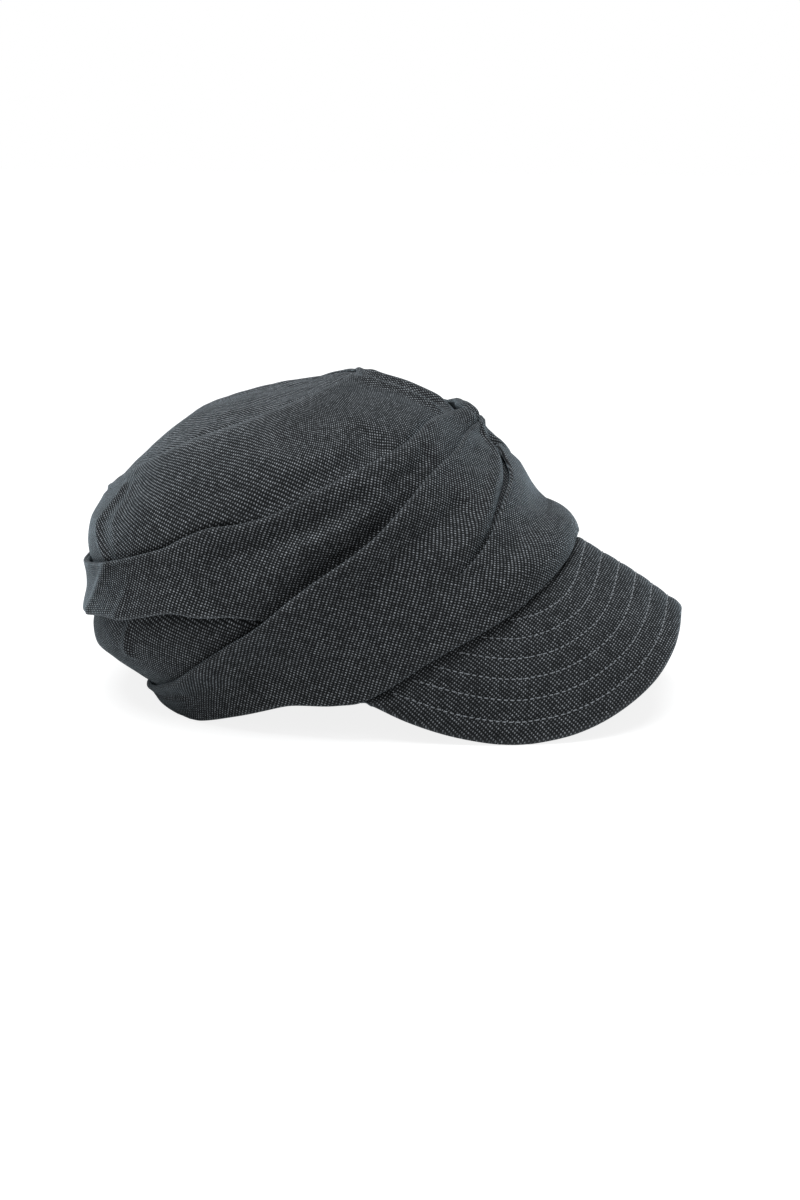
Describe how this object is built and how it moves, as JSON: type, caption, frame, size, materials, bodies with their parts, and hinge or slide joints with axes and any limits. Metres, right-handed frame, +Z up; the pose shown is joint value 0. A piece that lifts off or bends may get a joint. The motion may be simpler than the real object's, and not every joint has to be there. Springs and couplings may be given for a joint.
{
  "type": "draped military cap",
  "caption": "Soft military cap with a round crown, two pleated cloth drapes round it, a front pleat and a stiff curved peak with rows of stitching.",
  "frame": {"origin": "on the surface that the cap stands on, under the middle of its bounding box", "axes": "+X towards the front of the peak, +Y towards the wearer's left, +Z up from the surface"},
  "size_m": [0.2536, 0.1842, 0.1369],
  "materials": {
    "crown_cloth": "matte coarse weave",
    "drape_cloth": "matte coarse weave",
    "peak_cloth": "matte coarse weave with rows of stitching"
  },
  "bodies": {
    "root": {"crown_tip": "crown_cloth", "side_crown": "crown_cloth", "upper_drape": "drape_cloth", "lower_drape": "drape_cloth", "front_drape": "drape_cloth", "peak": "peak_cloth"}
  },
  "joints": []
}
